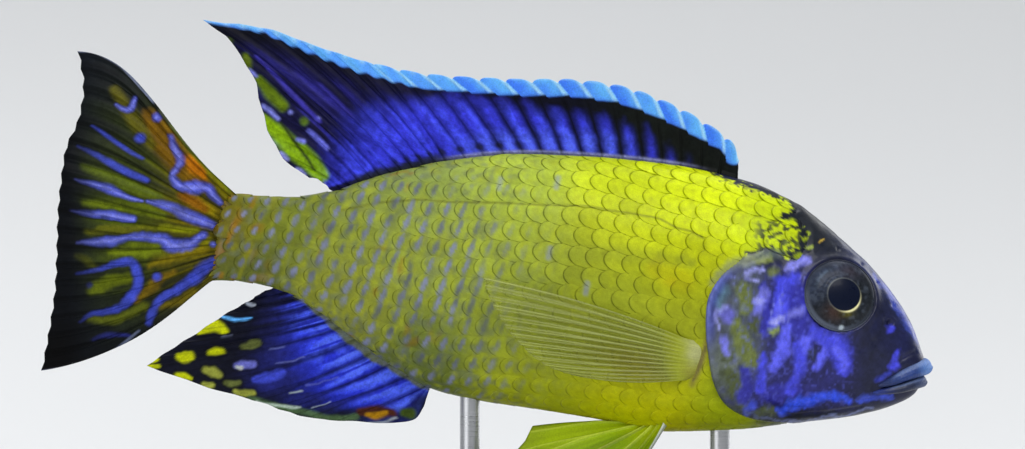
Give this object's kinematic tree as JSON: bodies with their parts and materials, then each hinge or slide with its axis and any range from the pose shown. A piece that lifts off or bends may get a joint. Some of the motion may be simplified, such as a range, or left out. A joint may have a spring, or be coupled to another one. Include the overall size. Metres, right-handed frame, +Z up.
{
  "type": "peacock cichlid display model",
  "caption": "Life-size still model of a male peacock cichlid with spread fins, on a display stand with a flat base and short rods.",
  "frame": {"origin": "on the surface that the stand rests on, under the middle of the fish's length", "axes": "+X towards the fish's head, +Y towards its left side, +Z up"},
  "size_m": [0.1337, 0.042, 0.087],
  "materials": {
    "head_skin": "moist skin, dark navy with blue-violet blotches",
    "body_skin": "scaled, brilliant yellow with a lilac spot on each rear scale",
    "fin_membrane": "thin membrane, blue-black with sky-blue edges",
    "tail_membrane": "thin membrane, olive with lilac-blue marks",
    "pectoral_membrane": "clear membrane with fine pale rays",
    "pelvic_membrane": "thin membrane, bright green-yellow",
    "eye": "glossy, dark iris with a thin gold ring",
    "stand_base": "satin dark hardwood",
    "stand_rod": "brushed"
  },
  "bodies": {
    "root": {"head": "head_skin", "lower_jaw": "head_skin", "gill_cover_left": "head_skin", "gill_cover_right": "head_skin", "eye_left": "eye", "eye_right": "eye", "trunk": "body_skin", "tail_stalk": "body_skin", "dorsal_fin": "fin_membrane", "anal_fin": "fin_membrane", "tail_fin": "tail_membrane", "pectoral_fin_left": "pectoral_membrane", "pectoral_fin_right": "pectoral_membrane", "pelvic_fin_left": "pelvic_membrane", "pelvic_fin_right": "pelvic_membrane", "stand_base": "stand_base", "stand_rod_front": "stand_rod", "stand_rod_rear": "stand_rod"}
  },
  "joints": []
}
